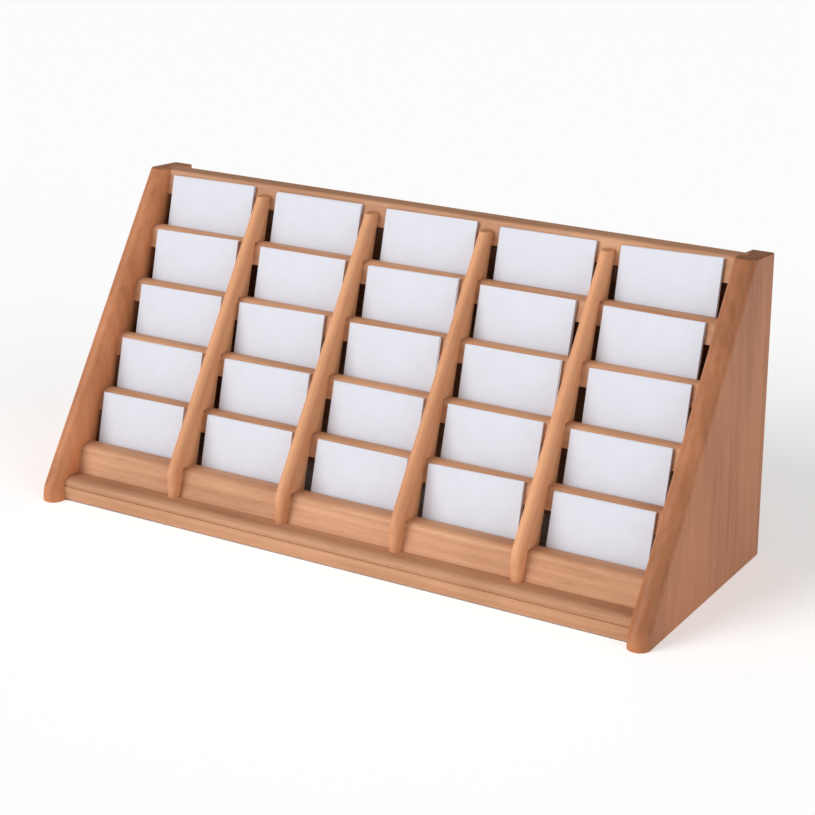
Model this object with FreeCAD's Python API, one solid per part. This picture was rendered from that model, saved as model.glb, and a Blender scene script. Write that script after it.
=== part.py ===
import FreeCAD, Part
import math
import os

# Tabletop wooden rack for business-size cards: five stepped rows of five pockets.
# Millimetres. +Z is up, -Y is the front, X runs along the rack. The origin is the
# centre of the footprint on the table.

# ---- Driving dimensions -------------------------------------------------------------

ROWS = 5
COLUMNS = 5

# Standard card stock kept in each pocket.
CARD_WIDTH = 89.0
CARD_HEIGHT = 51.0
STACK_THICKNESS = 2.8
STACK_BACK_GAP = 0.2
STACK_FLOOR_GAP = 0.1

# How far each stack stands to the right of its pocket's centre, row by row from the top.
STACK_OFFSETS = (
    (0.5, 0.5, 2.0, 0.5, -0.5),
    (1.0, 1.5, 1.0, -2.0, -2.0),
    (2.0, -2.5, 0.0, 0.0, 1.0),
    (-0.5, -0.5, 0.5, -0.5, -0.5),
    (-1.5, -0.5, 1.5, -2.0, 0.0),
)

# Stock sizes.
SIDE_THICKNESS = 19.0
DIVIDER_THICKNESS = 9.5
SLAT_THICKNESS = 9.5
RAIL_THICKNESS = 14.0
POCKET_WIDTH = 102.3

# Pocket layout. Each slat is the lip of its own row, and its lower part is what the tops
# of the cards in the row below lean on; between slats a pocket is open to the inside.
LEAN = math.radians(16.5)
POCKET_DEPTH = 4.8
ROW_STEP_ALONG = 49.25
LIP_HEIGHT = 7.0
SLAT_BELOW_FLOOR = 15.0
TOP_POCKET_FLOOR = (59.3, 207.9)
FLOOR_STRIP_THICKNESS = 12.7
FLOOR_STRIP_DEPTH = 9.5
HOUSING_DEPTH = 6.0

# Side panel outline.
DEPTH = 215.0
BACK_HEIGHT = 259.0
TOP_TILT = 0.09
FRONT_AT_TABLE = -114.8
FRONT_SLOPE = 0.69
SIDE_FRONT_RADIUS = 9.0
SIDE_TOE_RADIUS = 30.0
EASED_ARRIS_RADIUS = 1.2

# Top rail, dividers and slat edges.
TOP_RAIL_HEIGHT = 261.2
TOP_RAIL_ARRIS_RADIUS = 3.0
DIVIDER_TOP = 253.0
DIVIDER_SETBACK = 2.5
DIVIDER_FOOT_FRONT = -82.0
DIVIDER_FRONT_RADIUS = 4.4
DIVIDER_FOOT_CORNER_RADIUS = 20.0
DIVIDER_EASED_RADIUS = 0.8
LIP_FRONT_RADIUS = 6.0
LIP_BACK_RADIUS = 1.2

# Base rail: a board lying flat with a moulded front edge.
BASE_RAIL_FRONT = -95.8
BASE_RAIL_DEPTH = 40.0
BASE_RAIL_BOTTOM = 1.0
BASE_RAIL_TOP = 20.0
BASE_RAIL_STEP_HEIGHT = 12.8
BASE_RAIL_STEP_DEPTH = 1.5
BASE_RAIL_ROUND_RADIUS = 6.5

# Back panel: a thin upright sheet in grooves, just behind the top rail.
BACK_PANEL_FRONT = 90.0
BACK_PANEL_THICKNESS = 6.0
BACK_PANEL_BOTTOM = 1.0
BACK_PANEL_TOP = 258.0

# Fixings.
DOWEL_RADIUS = 4.0
DOWEL_CLEARANCE = 0.1
DOWEL_IN_SIDE = 11.0
DOWEL_IN_RAIL = 24.0
DOWEL_END_GAP = 1.0
SCREW_LENGTH = 22.0
SCREW_IN_DIVIDER = 8.5
SCREW_SHANK_RADIUS = 1.75
SCREW_HEAD_RADIUS = 3.6
SCREW_HEAD_DEPTH = 2.6
SCREW_TIP_LENGTH = 4.0
SCREW_CLEARANCE = 0.1
SCREW_ABOVE_FLOOR = 42.0

# ---- Places worked out from the dimensions ------------------------------------------

COLUMN_PITCH = POCKET_WIDTH + DIVIDER_THICKNESS
INNER_HALF_WIDTH = (COLUMNS * POCKET_WIDTH + (COLUMNS - 1) * DIVIDER_THICKNESS) / 2
OUTER_HALF_WIDTH = INNER_HALF_WIDTH + SIDE_THICKNESS
FRONT = -DEPTH / 2
BACK = DEPTH / 2
UP_SLAT = (math.sin(LEAN), math.cos(LEAN))
OUT_OF_SLAT = (-math.cos(LEAN), math.sin(LEAN))
ROW_STEP_OUT = SLAT_THICKNESS + POCKET_DEPTH
INTO_DIVIDER = FreeCAD.Vector(0, OUT_OF_SLAT[0], OUT_OF_SLAT[1])


def slat_point(row, along, out):
    """(y, z) of a point measured from the back corner of a row's pocket floor.

    `along` runs up the leaning slats and `out` runs square to them, to the front.
    """
    along -= (row - 1) * ROW_STEP_ALONG
    out += (row - 1) * ROW_STEP_OUT
    y = TOP_POCKET_FLOOR[0] + along * UP_SLAT[0] + out * OUT_OF_SLAT[0]
    z = TOP_POCKET_FLOOR[1] + along * UP_SLAT[1] + out * OUT_OF_SLAT[1]
    return y, z


def at_height(row, out, height):
    """(y, z) where the leaning plane `out` in front of a row's back face meets a height."""
    y, z = slat_point(row, 0, out)
    return y + (height - z) * math.tan(LEAN), height


def front_line(height):
    """y of the sloping front edges at a height."""
    return FRONT_AT_TABLE + FRONT_SLOPE * height


def column_centre(column):
    return (column - (COLUMNS + 1) / 2) * COLUMN_PITCH


def divider_centre(number):
    return (number - COLUMNS / 2) * COLUMN_PITCH


def slat_front(row):
    """How far the front of a row's slat is in front of the row's back face."""
    return POCKET_DEPTH + (SLAT_THICKNESS if row < ROWS else RAIL_THICKNESS)


def lip_top(row):
    """Height of the level top of the slat in front of a row's pocket."""
    return slat_point(row, LIP_HEIGHT, POCKET_DEPTH)[1]


# ---- Solid helpers ------------------------------------------------------------------

def extrude_outline(outline, x_from, x_to):
    """Solid with the (y, z) outline, running from x_from to x_to."""
    points = [FreeCAD.Vector(x_from, y, z) for y, z in outline]
    face = Part.Face(Part.makePolygon(points + points[:1]))
    return face.extrude(FreeCAD.Vector(x_to - x_from, 0, 0))


def edges_along_x(solid, corner):
    """Edges that run along X through a (y, z) corner."""
    found = []
    for edge in solid.Edges:
        ends = [(v.Y - corner[0], v.Z - corner[1]) for v in edge.Vertexes]
        if len(ends) == 2 and all(math.hypot(*end) < 1e-4 for end in ends):
            found.append(edge)
    return found


def round_corner(solid, corner, radius):
    return solid.makeFillet(radius, edges_along_x(solid, corner))


def side_arrises(solid, x_plane, is_rounded):
    """Edges lying in one end plane for which is_rounded(edge's bounding box) is true."""
    found = []
    for edge in solid.Edges:
        box = edge.BoundBox
        in_plane = abs(box.XMin - x_plane) < 1e-4 and abs(box.XMax - x_plane) < 1e-4
        if in_plane and is_rounded(box):
            found.append(edge)
    return found


def ease_top(solid, radius):
    """Takes the sharpness off the arrises round a board's top face, apart from the back one."""
    top_face = max(solid.Faces, key=lambda face: face.CenterOfMass.z)
    rim = sorted(top_face.Edges, key=lambda edge: edge.CenterOfMass.y)
    return solid.makeFillet(radius, rim[:-1])


def rod_along_x(x_from, x_to, y, z, radius):
    start = FreeCAD.Vector(x_from, y, z)
    return Part.makeCylinder(radius, x_to - x_from, start, FreeCAD.Vector(1, 0, 0))


# ---- Boards -------------------------------------------------------------------------

def make_side_panel(x_from, x_to):
    """Solid side board: round sloping front, short upright toe, flat top."""
    toe_height = (FRONT - FRONT_AT_TABLE) / FRONT_SLOPE
    top_height = (BACK_HEIGHT + TOP_TILT * (BACK - FRONT_AT_TABLE)) / (1 + TOP_TILT * FRONT_SLOPE)
    toe_corner = (FRONT, toe_height)
    top_corner = (front_line(top_height), top_height)
    outline = [(BACK, 0), (FRONT, 0), toe_corner, top_corner, (BACK, BACK_HEIGHT)]
    panel = extrude_outline(outline, x_from, x_to)
    panel = round_corner(panel, toe_corner, SIDE_TOE_RADIUS)

    def on_front(box):
        on_table = box.ZMax < 1e-4
        on_back = box.YMin > BACK - 1e-4
        on_top = box.ZMin > BACK_HEIGHT - 1e-4
        return not (on_table or on_back or on_top)

    arrises = side_arrises(panel, x_from, on_front)
    arrises += side_arrises(panel, x_to, on_front)
    panel = panel.makeFillet(SIDE_FRONT_RADIUS, arrises)
    return ease_top(panel, EASED_ARRIS_RADIUS)


def make_slat(row):
    """Leaning slat; the bottom row's is thicker and goes down to the base rail."""
    top = lip_top(row)
    front = slat_front(row)
    top_back = at_height(row, POCKET_DEPTH, top)
    top_front = at_height(row, front, top)
    if row < ROWS:
        bottom_front = slat_point(row, -SLAT_BELOW_FLOOR, front)
        bottom_back = slat_point(row, -SLAT_BELOW_FLOOR, POCKET_DEPTH)
    else:
        bottom_front = at_height(row, front, BASE_RAIL_TOP)
        bottom_back = at_height(row, POCKET_DEPTH, BASE_RAIL_TOP)
    half_length = INNER_HALF_WIDTH + HOUSING_DEPTH
    slat = extrude_outline([bottom_back, bottom_front, top_front, top_back], -half_length, half_length)
    slat = round_corner(slat, top_front, LIP_FRONT_RADIUS)
    return round_corner(slat, top_back, LIP_BACK_RADIUS)


def make_floor_strip(row):
    """Strip glued behind a slat, on which the cards of the row stand."""
    back = POCKET_DEPTH - FLOOR_STRIP_DEPTH
    corners = (
        (-FLOOR_STRIP_THICKNESS, back),
        (-FLOOR_STRIP_THICKNESS, POCKET_DEPTH),
        (0, POCKET_DEPTH),
        (0, back),
    )
    outline = [slat_point(row, along, out) for along, out in corners]
    return extrude_outline(outline, -INNER_HALF_WIDTH, INNER_HALF_WIDTH)


def make_top_rail():
    """Thicker leaning strip that the top row's cards lean on, closing the rack at the top."""
    bottom = ROW_STEP_ALONG - SLAT_BELOW_FLOOR
    top_front = at_height(1, 0, TOP_RAIL_HEIGHT)
    outline = [
        slat_point(1, bottom, -RAIL_THICKNESS),
        slat_point(1, bottom, 0),
        top_front,
        at_height(1, -RAIL_THICKNESS, TOP_RAIL_HEIGHT),
    ]
    half_length = INNER_HALF_WIDTH + HOUSING_DEPTH
    rail = extrude_outline(outline, -half_length, half_length)
    return round_corner(rail, top_front, TOP_RAIL_ARRIS_RADIUS)


def make_base_rail():
    """Board lying flat, its front edge stepped back and rounded over above the step."""
    step = BASE_RAIL_FRONT + BASE_RAIL_STEP_DEPTH
    back = BASE_RAIL_FRONT + BASE_RAIL_DEPTH
    top_front = (step, BASE_RAIL_TOP)
    outline = [
        (back, BASE_RAIL_BOTTOM),
        (BASE_RAIL_FRONT, BASE_RAIL_BOTTOM),
        (BASE_RAIL_FRONT, BASE_RAIL_STEP_HEIGHT),
        (step, BASE_RAIL_STEP_HEIGHT),
        top_front,
        (back, BASE_RAIL_TOP),
    ]
    rail = extrude_outline(outline, -INNER_HALF_WIDTH, INNER_HALF_WIDTH)
    rail = round_corner(rail, (BASE_RAIL_FRONT, BASE_RAIL_BOTTOM), EASED_ARRIS_RADIUS)
    return round_corner(rail, top_front, BASE_RAIL_ROUND_RADIUS)


def make_back_panel():
    back = BACK_PANEL_FRONT + BACK_PANEL_THICKNESS
    outline = [
        (back, BACK_PANEL_BOTTOM),
        (BACK_PANEL_FRONT, BACK_PANEL_BOTTOM),
        (BACK_PANEL_FRONT, BACK_PANEL_TOP),
        (back, BACK_PANEL_TOP),
    ]
    half_length = INNER_HALF_WIDTH + HOUSING_DEPTH
    return extrude_outline(outline, -half_length, half_length)


def make_divider(number):
    """Upright board with a round front edge, its back sawn in steps over the slats."""
    foot_corner_height = (DIVIDER_FOOT_FRONT - DIVIDER_SETBACK - FRONT_AT_TABLE) / FRONT_SLOPE
    foot_corner = (DIVIDER_FOOT_FRONT, foot_corner_height)
    outline = [
        at_height(ROWS, slat_front(ROWS), BASE_RAIL_TOP),
        (DIVIDER_FOOT_FRONT, BASE_RAIL_TOP),
        foot_corner,
        (front_line(DIVIDER_TOP) + DIVIDER_SETBACK, DIVIDER_TOP),
        at_height(1, 0, DIVIDER_TOP),
    ]
    for row in range(1, ROWS + 1):
        outline.append(slat_point(row, 0, 0))
        outline.append(slat_point(row, 0, POCKET_DEPTH))
        outline.append(at_height(row, POCKET_DEPTH, lip_top(row)))
        outline.append(at_height(row, slat_front(row), lip_top(row)))
    x_from = divider_centre(number) - DIVIDER_THICKNESS / 2
    x_to = x_from + DIVIDER_THICKNESS
    divider = extrude_outline(outline, x_from, x_to)
    divider = round_corner(divider, foot_corner, DIVIDER_FOOT_CORNER_RADIUS)

    def on_front(box):
        middle_y = (box.YMin + box.YMax) / 2
        middle_z = (box.ZMin + box.ZMax) / 2
        from_slope = middle_y - DIVIDER_SETBACK - front_line(middle_z)
        upright_foot = box.YMax < DIVIDER_FOOT_FRONT + 1e-4
        return abs(from_slope) < DIVIDER_FRONT_RADIUS or upright_foot

    arrises = side_arrises(divider, x_from, on_front)
    arrises += side_arrises(divider, x_to, on_front)
    divider = divider.makeFillet(DIVIDER_FRONT_RADIUS, arrises)
    return ease_top(divider, DIVIDER_EASED_RADIUS)


# ---- Cards --------------------------------------------------------------------------

def make_card_stack(row, column):
    """A few blank cards leaning against the slat or rail above their pocket."""
    back = STACK_BACK_GAP
    front = STACK_BACK_GAP + STACK_THICKNESS
    foot = STACK_FLOOR_GAP
    top = STACK_FLOOR_GAP + CARD_HEIGHT
    corners = ((foot, back), (foot, front), (top, front), (top, back))
    outline = [slat_point(row, along, out) for along, out in corners]
    x_middle = column_centre(column) + STACK_OFFSETS[row - 1][column - 1]
    return extrude_outline(outline, x_middle - CARD_WIDTH / 2, x_middle + CARD_WIDTH / 2)


# ---- Fixings ------------------------------------------------------------------------

def dowel_places():
    """(y, z) of the dowels at each end of the base rail."""
    height = (BASE_RAIL_BOTTOM + BASE_RAIL_TOP) / 2
    front = BASE_RAIL_FRONT + BASE_RAIL_DEPTH * 0.35
    back = BASE_RAIL_FRONT + BASE_RAIL_DEPTH * 0.75
    return [(front, height), (back, height)]


def make_dowels(radius, end_gap):
    """Dowels, or with clearances given the holes for them, at both ends of the base rail."""
    inner_end = INNER_HALF_WIDTH - DOWEL_IN_RAIL - end_gap
    outer_end = INNER_HALF_WIDTH + DOWEL_IN_SIDE + end_gap
    rods = []
    for y, z in dowel_places():
        rods.append(rod_along_x(inner_end, outer_end, y, z, radius))
        rods.append(rod_along_x(-outer_end, -inner_end, y, z, radius))
    return rods


def screw_place(row, number, out):
    y, z = slat_point(row, SCREW_ABOVE_FLOOR, out)
    return FreeCAD.Vector(divider_centre(number), y, z)


def make_screw(row, number, clearance):
    """Countersunk screw from behind a slat or rail into a divider, or the hole for it."""
    head_radius = SCREW_HEAD_RADIUS + clearance
    shank_radius = SCREW_SHANK_RADIUS + clearance
    tip = SCREW_LENGTH + clearance
    profile = [
        (0, 0),
        (head_radius, 0),
        (shank_radius, SCREW_HEAD_DEPTH),
        (shank_radius, tip - SCREW_TIP_LENGTH),
        (0, tip),
    ]
    points = [FreeCAD.Vector(radius, 0, depth) for radius, depth in profile]
    face = Part.Face(Part.makePolygon(points + points[:1]))
    screw = face.revolve(FreeCAD.Vector(0, 0, 0), FreeCAD.Vector(0, 0, 1), 360)
    turn = FreeCAD.Rotation(FreeCAD.Vector(0, 0, 1), INTO_DIVIDER)
    place = screw_place(row, number, SCREW_IN_DIVIDER - SCREW_LENGTH)
    screw.Placement = FreeCAD.Placement(place, turn)
    return screw


def make_counterbore(row, number):
    """Round recess behind a screw's head, out through the back of the wood."""
    depth = ROW_STEP_OUT
    start = screw_place(row, number, SCREW_IN_DIVIDER - SCREW_LENGTH - depth)
    return Part.makeCylinder(SCREW_HEAD_RADIUS + SCREW_CLEARANCE, depth, start, INTO_DIVIDER)


# ---- Assembly -----------------------------------------------------------------------

def build_nodes():
    rows = range(1, ROWS + 1)
    columns = range(1, COLUMNS + 1)
    dividers = range(1, COLUMNS)

    slats = {row: make_slat(row) for row in rows}
    floor_strips = {row: make_floor_strip(row) for row in rows}
    top_rail = make_top_rail()
    back_panel = make_back_panel()
    housed = [top_rail, back_panel] + list(slats.values())
    dowels = make_dowels(DOWEL_RADIUS, 0)
    dowel_holes = make_dowels(DOWEL_RADIUS + DOWEL_CLEARANCE, DOWEL_END_GAP)
    left_panel = make_side_panel(-OUTER_HALF_WIDTH, -INNER_HALF_WIDTH)
    right_panel = make_side_panel(INNER_HALF_WIDTH, OUTER_HALF_WIDTH)

    screws = []
    divider_solids = {number: make_divider(number) for number in dividers}
    for row in rows:
        holes = []
        for number in dividers:
            screws.append(make_screw(row, number, 0))
            hole = make_screw(row, number, SCREW_CLEARANCE)
            holes += [hole, make_counterbore(row, number)]
            divider_solids[number] = divider_solids[number].cut(hole)
        if row == 1:
            top_rail = top_rail.cut(holes)
        else:
            slats[row - 1] = slats[row - 1].cut(holes)
            floor_strips[row - 1] = floor_strips[row - 1].cut(holes)

    nodes = {
        "left_side_panel": left_panel.cut(housed + dowel_holes),
        "right_side_panel": right_panel.cut(housed + dowel_holes),
        "top_rail": top_rail,
        "base_rail": make_base_rail().cut(dowel_holes),
        "back_panel": back_panel,
        "rail_dowels": Part.makeCompound(dowels),
        "divider_screws": Part.makeCompound(screws),
    }
    for row in rows:
        nodes["slat_%d" % row] = slats[row]
        nodes["floor_strip_%d" % row] = floor_strips[row]
        for column in columns:
            nodes["card_stack_r%d_c%d" % (row, column)] = make_card_stack(row, column)
    for number in dividers:
        nodes["divider_%d" % number] = divider_solids[number]
    return nodes


def main():
    os.makedirs("parts", exist_ok=True)
    for name, shape in build_nodes().items():
        shape.exportStep("parts/%s.step" % name)


main()
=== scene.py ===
import math
import random

import bmesh
import bpy
from mathutils import Matrix, Vector


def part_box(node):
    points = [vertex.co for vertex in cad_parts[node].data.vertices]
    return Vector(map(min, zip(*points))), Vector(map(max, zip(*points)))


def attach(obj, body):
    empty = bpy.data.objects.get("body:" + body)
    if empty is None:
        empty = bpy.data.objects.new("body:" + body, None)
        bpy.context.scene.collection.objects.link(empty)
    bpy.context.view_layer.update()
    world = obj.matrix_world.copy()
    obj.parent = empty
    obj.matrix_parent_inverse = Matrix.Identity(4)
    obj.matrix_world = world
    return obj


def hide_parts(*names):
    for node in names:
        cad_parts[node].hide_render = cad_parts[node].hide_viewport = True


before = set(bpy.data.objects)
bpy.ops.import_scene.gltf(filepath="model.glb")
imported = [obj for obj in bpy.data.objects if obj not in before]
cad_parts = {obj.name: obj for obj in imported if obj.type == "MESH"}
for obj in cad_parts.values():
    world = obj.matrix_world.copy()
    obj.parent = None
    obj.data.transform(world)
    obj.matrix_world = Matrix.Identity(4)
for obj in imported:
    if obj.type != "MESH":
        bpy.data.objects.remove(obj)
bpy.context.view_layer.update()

# Tabletop wooden card rack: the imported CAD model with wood, paper and steel finishes,
# and separate cards in place of the plain card stacks. Metres, +Z up, -Y the front.

ROWS = range(1, 6)
COLUMNS = range(1, 6)
DIVIDERS = range(1, 5)

# The slats and the cards lean back by this angle; the dividers' fronts slope by the other.
LEAN = math.radians(16.5)
FRONT_SLOPE = math.atan(0.69)

ALONG_X = Vector((1, 0, 0))
UPRIGHT = Vector((0, 0, 1))
UP_FRONT_SLOPE = Vector((0, math.sin(FRONT_SLOPE), math.cos(FRONT_SLOPE)))

# Card stock.
CARD_THICKNESS = 0.0004
CARD_GAP = 0.00006
CARD_INSET = 0.0007
CARD_SHIFT = 0.0006
CARD_TILT = math.radians(0.25)
STACK_TILT = (0.0, math.radians(1.6))
CARD_COLUMNS = 12
CARD_BOW = 0.00006

CARD_SEED = 5

CARD_WHITE = (0.70, 0.71, 0.775)
CUT_EDGE_WHITE = (0.80, 0.79, 0.77)

# Wood colours, linear, palest and darkest: the boards across the rack are paler and yellower than the side
# panels, and the dividers lie in between in hue. The dividers' wood is also paler than both: painted light
# that lifts their right faces, which stand in shade beside the cards.
CROSS_WOOD = (Vector((0.73, 0.385, 0.218)), Vector((0.40, 0.172, 0.08)))
SIDE_WOOD = (Vector((0.71, 0.285, 0.128)), Vector((0.37, 0.130, 0.050)))
DIVIDER_WOOD_PAINTED_LIGHT = (Vector((0.83, 0.41, 0.21)), Vector((0.52, 0.215, 0.096)))

WOOD_SEED = 11

# Growth rings: how wide, and how far the fibres wander from true circles.
RING_WIDTH = 0.009
RING_WANDER = 0.022

# How far each part of the figure takes the wood from its palest to its darkest colour.
LATE_WOOD_SHARE = 0.12
STREAK_SHARE = 0.22
FIBRE_SHARE = 0.16
BLOTCH_SHARE = 0.42
PORE_SHARE = 0.22
WORN_EDGE_SHARE = 0.22
WORN_EDGE_RADIUS = 0.0011

# How much darker the stain is on end grain, and the share of end grain where it is full.
END_GRAIN_STAIN = 0.6
END_GRAIN_FULL = 0.4

# Floor: half its width, how brightly it glows, and how far the patch under the rack lies above it.
FLOOR_REACH = 15.0
FLOOR_GLOW = 0.42
UNDER_RACK_LIFT = 0.0002

# Suns: degrees from the front towards the left, degrees above the floor, and strength.
KEY_SUN = (37, 25, 2.2)
FILL_SUN = (-72, 22, 0.8)
SUN_SPREAD = math.radians(40)
WORLD_GLOW = 0.2

# Photograph's viewpoint.
CAMERA_PLACE = Vector((0.8968, -1.4332, 0.7344))
CAMERA_TURN = math.radians(31.43)
CAMERA_PITCH = math.radians(20.33)
CAMERA_ROLL = math.radians(-0.27)
CAMERA_LENS = 95.2
CAMERA_SENSOR = 36.0


# ---- Node helpers --------------------------------------------------------------------

class Recipe:
    """One material's node tree, built a step at a time."""

    def __init__(self, name):
        self.material = bpy.data.materials.new(name)
        self.material.use_nodes = True
        self.tree = self.material.node_tree
        self.shader = self.tree.nodes["Principled BSDF"]

    def node(self, kind, inputs=(), **settings):
        made = self.tree.nodes.new(kind)
        for name, value in settings.items():
            setattr(made, name, value)
        for name, value in dict(inputs).items():
            self.feed(made.inputs[name], value)
        return made

    def feed(self, socket, value):
        """Links a socket to another node's output, or sets its plain value."""
        if isinstance(value, bpy.types.NodeSocket):
            self.tree.links.new(value, socket)
        else:
            socket.default_value = value

    def maths(self, operation, first, second=0.0, clamp=False):
        made = self.node("ShaderNodeMath", {0: first, 1: second}, operation=operation, use_clamp=clamp)
        return made.outputs[0]

    def vector_maths(self, operation, first, second):
        return self.node("ShaderNodeVectorMath", {0: first, 1: second}, operation=operation).outputs

    def noise(self, place, scale, detail=2.0, roughness=0.5):
        inputs = {"Vector": place, "Scale": scale, "Detail": detail, "Roughness": roughness}
        return self.node("ShaderNodeTexNoise", inputs).outputs["Fac"]

    def stretched(self, place, along, across):
        """The place scaled by one amount along the grain and another across it."""
        return self.vector_maths("MULTIPLY", place, (along, across, across))[0]

    def between(self, value, low, high):
        """0 at or below low, 1 at or above high, eased in between."""
        inputs = {"Value": value, "From Min": low, "From Max": high}
        made = self.node("ShaderNodeMapRange", inputs, interpolation_type="SMOOTHSTEP")
        return made.outputs["Result"]

    def mix(self, factor, first, second, blend="MIX"):
        made = self.node("ShaderNodeMix", data_type="RGBA", blend_type=blend)
        self.feed(made.inputs["Factor"], factor)
        self.feed(made.inputs[6], first)
        self.feed(made.inputs[7], second)
        return made.outputs[2]

    def object_place(self):
        return self.node("ShaderNodeTexCoord").outputs["Object"]

    def edge_mask(self, radius):
        """Near 1 along arrises, 0 on flat faces."""
        soft = self.node("ShaderNodeBevel", {"Radius": radius}, samples=6).outputs["Normal"]
        sharp = self.node("ShaderNodeNewGeometry").outputs["Normal"]
        cosine = self.vector_maths("DOT_PRODUCT", soft, sharp)["Value"]
        return self.between(cosine, 0.995, 0.85)

    def bump(self, height, depth, strength=1.0):
        inputs = {"Height": height, "Distance": depth, "Strength": strength}
        self.feed(self.shader.inputs["Normal"], self.node("ShaderNodeBump", inputs).outputs["Normal"])


def colour(rgb, brightness=1.0):
    return (rgb[0] * brightness, rgb[1] * brightness, rgb[2] * brightness, 1.0)


# ---- Materials -----------------------------------------------------------------------

def wood(name, grain, heart, colours, brightness=1.0):
    """Lacquered hardwood. grain is its direction, heart where the tree's centre lay across the board."""
    recipe = Recipe(name)
    pale, dark = colours
    to_grain = grain.rotation_difference(ALONG_X).to_euler()
    inputs = {"Vector": recipe.object_place(), "Rotation": to_grain, "Location": heart}
    place = recipe.node("ShaderNodeMapping", inputs).outputs["Vector"]

    # Slow wander of the fibres, so that the growth rings aren't true circles.
    wander = recipe.node("ShaderNodeTexNoise", {"Vector": recipe.stretched(place, 2.2, 9.0), "Scale": 1.0})
    push = recipe.vector_maths("MULTIPLY", wander.outputs["Color"], (0, RING_WANDER, RING_WANDER))[0]
    place = recipe.vector_maths("ADD", place, push)[0]

    # Growth rings round the heart.
    split = recipe.node("ShaderNodeSeparateXYZ", {"Vector": place})
    square_y = recipe.maths("POWER", split.outputs["Y"], 2.0)
    square_z = recipe.maths("POWER", split.outputs["Z"], 2.0)
    from_heart = recipe.maths("SQRT", recipe.maths("ADD", square_y, square_z))
    ring_count = recipe.maths("DIVIDE", from_heart, RING_WIDTH)
    uneven = recipe.maths("MULTIPLY", recipe.noise(recipe.stretched(place, 1.5, 55.0), 1.0), 1.6)
    ring_place = recipe.maths("FRACT", recipe.maths("ADD", ring_count, uneven))
    late_rise = recipe.between(ring_place, 0.15, 0.85)
    late_fall = recipe.between(ring_place, 1.0, 0.93)
    late_wood = recipe.maths("MULTIPLY", late_rise, late_fall)

    fibres = recipe.noise(recipe.stretched(place, 14.0, 950.0), 1.0, detail=3.0, roughness=0.6)
    streaks = recipe.noise(recipe.stretched(place, 5.0, 160.0), 1.0, detail=3.0)
    blotches = recipe.noise(recipe.stretched(place, 7.0, 26.0), 1.0, detail=2.0)
    pore_noise = recipe.noise(recipe.stretched(place, 95.0, 2600.0), 1.0, detail=1.0)
    pores = recipe.between(pore_noise, 0.63, 0.72)

    figure = recipe.maths("MULTIPLY", late_wood, LATE_WOOD_SHARE)
    for pattern, share in ((streaks, STREAK_SHARE), (fibres, FIBRE_SHARE), (blotches, BLOTCH_SHARE)):
        shown = recipe.maths("MULTIPLY", recipe.between(pattern, 0.3, 0.75), share)
        figure = recipe.maths("ADD", figure, shown)
    tint = recipe.mix(figure, colour(pale, brightness), colour(dark, brightness))
    tint = recipe.mix(recipe.maths("MULTIPLY", pores, PORE_SHARE), tint, colour(dark, 0.5 * brightness))

    # End grain drinks more stain.
    normal = recipe.node("ShaderNodeNewGeometry").outputs["Normal"]
    facing = recipe.vector_maths("DOT_PRODUCT", normal, grain)["Value"]
    end_grain = recipe.maths("MINIMUM", recipe.maths("POWER", facing, 2.0), END_GRAIN_FULL)
    stained = recipe.maths("MULTIPLY", end_grain, END_GRAIN_STAIN)
    tint = recipe.mix(stained, tint, colour(dark, 0.4 * brightness))

    # Stain is rubbed a little thinner on the arrises.
    edges = recipe.edge_mask(WORN_EDGE_RADIUS)
    worn = recipe.maths("MULTIPLY", edges, recipe.between(streaks, 0.25, 0.65))
    tint = recipe.mix(recipe.maths("MULTIPLY", worn, WORN_EDGE_SHARE), tint, colour(pale, 1.15 * brightness))
    recipe.feed(recipe.shader.inputs["Base Color"], tint)

    roughness = recipe.maths("ADD", recipe.maths("MULTIPLY", fibres, 0.14), 0.40)
    roughness = recipe.maths("ADD", roughness, recipe.maths("MULTIPLY", pores, 0.15))
    recipe.feed(recipe.shader.inputs["Roughness"], roughness)
    recipe.shader.inputs["Coat Weight"].default_value = 0.05
    recipe.shader.inputs["Coat Roughness"].default_value = 0.35
    recipe.shader.inputs["Specular IOR Level"].default_value = 0.22
    relief = recipe.maths("SUBTRACT", recipe.maths("MULTIPLY", fibres, 0.5), pores)
    recipe.bump(relief, 0.00012, 0.5)
    return recipe.material


def card_paper():
    """Smooth white card, faintly mottled, a little grey on its cut edges."""
    recipe = Recipe("card_paper")
    place = recipe.object_place()
    mottle = recipe.noise(place, 60.0, detail=4.0, roughness=0.6)
    fibre = recipe.noise(place, 2600.0, detail=3.0, roughness=0.7)
    white = recipe.mix(recipe.between(mottle, 0.3, 0.7), colour(CARD_WHITE, 0.965), colour(CARD_WHITE))
    white = recipe.mix(recipe.maths("MULTIPLY", fibre, 0.06), white, colour(CARD_WHITE, 0.8))
    edges = recipe.edge_mask(0.0003)
    white = recipe.mix(recipe.maths("MULTIPLY", edges, 0.12), white, colour(CUT_EDGE_WHITE))
    recipe.feed(recipe.shader.inputs["Base Color"], white)
    roughness = recipe.maths("ADD", recipe.maths("MULTIPLY", mottle, 0.12), 0.5)
    recipe.feed(recipe.shader.inputs["Roughness"], roughness)
    recipe.shader.inputs["Specular IOR Level"].default_value = 0.4
    recipe.bump(fibre, 0.00002, 0.6)
    return recipe.material


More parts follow.
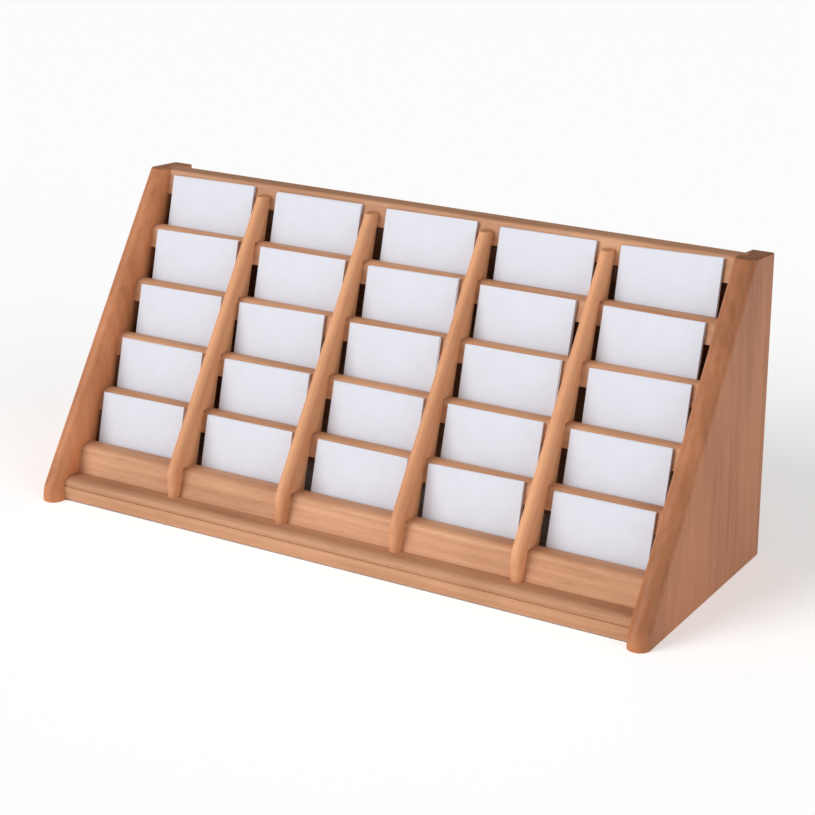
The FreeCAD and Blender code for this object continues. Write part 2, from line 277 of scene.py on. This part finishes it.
def zinc_steel():
    """Zinc-plated screw steel with turning marks and dull spots."""
    recipe = Recipe("zinc_steel")
    place = recipe.object_place()
    spots = recipe.noise(place, 900.0, detail=3.0)
    scuffs = recipe.noise(place, 3500.0, detail=2.0)
    dullness = recipe.between(spots, 0.35, 0.7)
    plate = recipe.mix(dullness, colour((0.63, 0.61, 0.55)), colour((0.44, 0.43, 0.41)))
    edges = recipe.edge_mask(0.0003)
    plate = recipe.mix(recipe.maths("MULTIPLY", edges, 0.5), plate, colour((0.78, 0.77, 0.74)))
    recipe.feed(recipe.shader.inputs["Base Color"], plate)
    recipe.shader.inputs["Metallic"].default_value = 1.0
    roughness = recipe.maths("ADD", recipe.maths("MULTIPLY", spots, 0.25), 0.25)
    recipe.feed(recipe.shader.inputs["Roughness"], roughness)
    recipe.bump(scuffs, 0.00003, 0.5)
    return recipe.material


def floor_paper(name, glow):
    """Matt white paper. The glow lifts a floor in the open to the white of a studio sweep."""
    recipe = Recipe(name)
    tooth = recipe.noise(recipe.object_place(), 400.0, detail=3.0)
    tint = recipe.mix(tooth, colour((0.94, 0.94, 0.94)), colour((0.96, 0.96, 0.96)))
    recipe.feed(recipe.shader.inputs["Base Color"], tint)
    recipe.shader.inputs["Roughness"].default_value = 0.9
    recipe.shader.inputs["Specular IOR Level"].default_value = 0.1
    recipe.shader.inputs["Emission Color"].default_value = (1, 1, 1, 1)
    recipe.shader.inputs["Emission Strength"].default_value = glow
    return recipe.material


# ---- Object --------------------------------------------------------------------------

def dress(node, material):
    """Gives every slot of a CAD node one material."""
    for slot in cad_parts[node].material_slots:
        slot.material = material


def dress_wood():
    """Each board gets wood of its own, cut from a different place in the tree, and its own brightness, which
    on the right side panel is painted shade.
    """
    draws = random.Random(WOOD_SEED)
    boards = [("left_side_panel", UPRIGHT, SIDE_WOOD, 1.08)]
    # The right side panel's 0.82 is painted shade: it darkens the outer face that is turned away from the
    # key light.
    boards += [("right_side_panel", UPRIGHT, SIDE_WOOD, 0.82)]
    boards += [("top_rail", ALONG_X, CROSS_WOOD, 0.95), ("base_rail", ALONG_X, CROSS_WOOD, 0.9)]
    boards += [("back_panel", ALONG_X, CROSS_WOOD, 0.85)]
    boards += [("slat_%d" % row, ALONG_X, CROSS_WOOD, 1.0) for row in ROWS]
    boards += [("floor_strip_%d" % row, ALONG_X, CROSS_WOOD, 0.95) for row in ROWS]
    # The dividers take the paler divider wood: painted light on their shaded right faces.
    boards += [("divider_%d" % number, UP_FRONT_SLOPE, DIVIDER_WOOD_PAINTED_LIGHT, 1.0) for number in DIVIDERS]
    boards += [("rail_dowels", ALONG_X, CROSS_WOOD, 1.2)]
    for node, grain, colours, brightness in boards:
        heart = Vector((draws.uniform(0, 3), draws.uniform(0.03, 0.08), draws.uniform(0.05, 0.12)))
        tone_and_painted_shade = brightness * draws.uniform(0.97, 1.03)
        dress(node, wood("wood_" + node, grain, heart, colours, tone_and_painted_shade))


def card_stack_mesh(low, high, draws):
    """Separate leaning cards that fill a stack's box, each a little out of line and bowed."""
    middle_x = (low.x + high.x) / 2
    width = high.x - low.x - 2 * CARD_INSET
    lean_height = high.z - low.z
    lean_depth = high.y - low.y
    # The box of the leaning stack gives the stack's own height and thickness.
    thickness = (lean_depth * math.cos(LEAN) - lean_height * math.sin(LEAN)) / math.cos(2 * LEAN)
    height = (lean_height - thickness * math.sin(LEAN)) / math.cos(LEAN)
    foot = Vector((middle_x, low.y + thickness * math.cos(LEAN), low.z))
    lean = Matrix.Rotation(-LEAN, 4, "X")
    count = int(thickness // (CARD_THICKNESS + CARD_GAP))
    pitch = thickness / count

    bm = bmesh.new()
    stack_tilt = draws.uniform(*STACK_TILT)
    # The stack stands on its lower corner, so tilting lifts its middle.
    lift = Vector((0, 0, width / 2 * math.sin(stack_tilt)))
    for index in range(count):
        card = bmesh.ops.create_grid(bm, x_segments=CARD_COLUMNS, y_segments=2, size=0.5)["verts"]
        card_height = height - 2 * CARD_INSET
        bow = draws.uniform(0, CARD_BOW)
        shift = Vector((draws.uniform(-CARD_SHIFT, CARD_SHIFT), 0, draws.uniform(-1, 1) * CARD_INSET))
        tilt = Matrix.Rotation(-stack_tilt + draws.uniform(-CARD_TILT, CARD_TILT), 4, "Y")
        for vert in card:
            across = vert.co.x
            out = -(index + 0.5) * pitch
            flat = Vector((across * width, out + bow * (2 * across) ** 2, vert.co.y * card_height))
            vert.co = foot + lean @ (tilt @ flat + shift + lift + Vector((0, 0, height / 2)))
    mesh = bpy.data.meshes.new("cards")
    bm.to_mesh(mesh)
    bm.free()
    return mesh


def make_cards():
    draws = random.Random(CARD_SEED)
    paper = card_paper()
    for row in ROWS:
        for column in COLUMNS:
            place = "r%d_c%d" % (row, column)
            node = "card_stack_" + place
            low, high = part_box(node)
            mesh = card_stack_mesh(Vector(low), Vector(high), draws)
            mesh.materials.append(paper)
            cards = bpy.data.objects.new("cards_" + place, mesh)
            bpy.context.scene.collection.objects.link(cards)
            thickness = cards.modifiers.new("card thickness", "SOLIDIFY")
            thickness.thickness = CARD_THICKNESS
            thickness.offset = 0
            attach(cards, "cards_" + place)
            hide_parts(node)


# ---- Stage ---------------------------------------------------------------------------

def make_sheet(name, low, high, height, material):
    """Level sheet between two corners, given as (x, y)."""
    corners = [(low[0], low[1]), (high[0], low[1]), (high[0], high[1]), (low[0], high[1])]
    mesh = bpy.data.meshes.new(name)
    mesh.from_pydata([(x, y, height) for x, y in corners], [], [(0, 1, 2, 3)])
    mesh.materials.append(material)
    sheet = bpy.data.objects.new(name, mesh)
    bpy.context.scene.collection.objects.link(sheet)


def make_floor():
    white = floor_paper("floor_paper", FLOOR_GLOW)
    make_sheet("floor", (-FLOOR_REACH, -FLOOR_REACH), (FLOOR_REACH, FLOOR_REACH), 0, white)
    # Little studio light gets in under the rack, so the table there has no glow.
    left = Vector(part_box("left_side_panel")[1]).x
    right = Vector(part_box("right_side_panel")[0]).x
    front = Vector(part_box("base_rail")[0]).y
    back = Vector(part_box("back_panel")[1]).y
    shaded = floor_paper("shaded_floor_paper", 0.0)
    make_sheet("floor_under_rack", (left, front), (right, back), UNDER_RACK_LIFT, shaded)


def make_soft_sun(name, turn, height, strength):
    data = bpy.data.lights.new(name, "SUN")
    data.angle = SUN_SPREAD
    data.energy = strength
    light = bpy.data.objects.new(name, data)
    light.matrix_world = (
        Matrix.Rotation(math.radians(-turn), 4, "Z")
        @ Matrix.Rotation(math.radians(90 - height), 4, "X")
    )
    bpy.context.scene.collection.objects.link(light)


def make_lights():
    make_soft_sun("key", *KEY_SUN)
    make_soft_sun("fill", *FILL_SUN)
    world = bpy.data.worlds.new("studio")
    world.use_nodes = True
    background = world.node_tree.nodes["Background"]
    background.inputs["Color"].default_value = (1, 1, 1, 1)
    background.inputs["Strength"].default_value = WORLD_GLOW
    bpy.context.scene.world = world


def make_camera():
    data = bpy.data.cameras.new("camera")
    data.sensor_width = CAMERA_SENSOR
    data.lens = CAMERA_LENS
    camera = bpy.data.objects.new("camera", data)
    turn = Matrix.Rotation(CAMERA_TURN, 4, "Z")
    pitch = Matrix.Rotation(math.pi / 2 - CAMERA_PITCH, 4, "X")
    roll = Matrix.Rotation(CAMERA_ROLL, 4, "Z")
    camera.matrix_world = Matrix.Translation(CAMERA_PLACE) @ turn @ pitch @ roll
    bpy.context.scene.collection.objects.link(camera)
    bpy.context.scene.camera = camera


bpy.context.scene.view_settings.view_transform = "Standard"
dress_wood()
dress("divider_screws", zinc_steel())
make_cards()
make_floor()
make_lights()
make_camera()
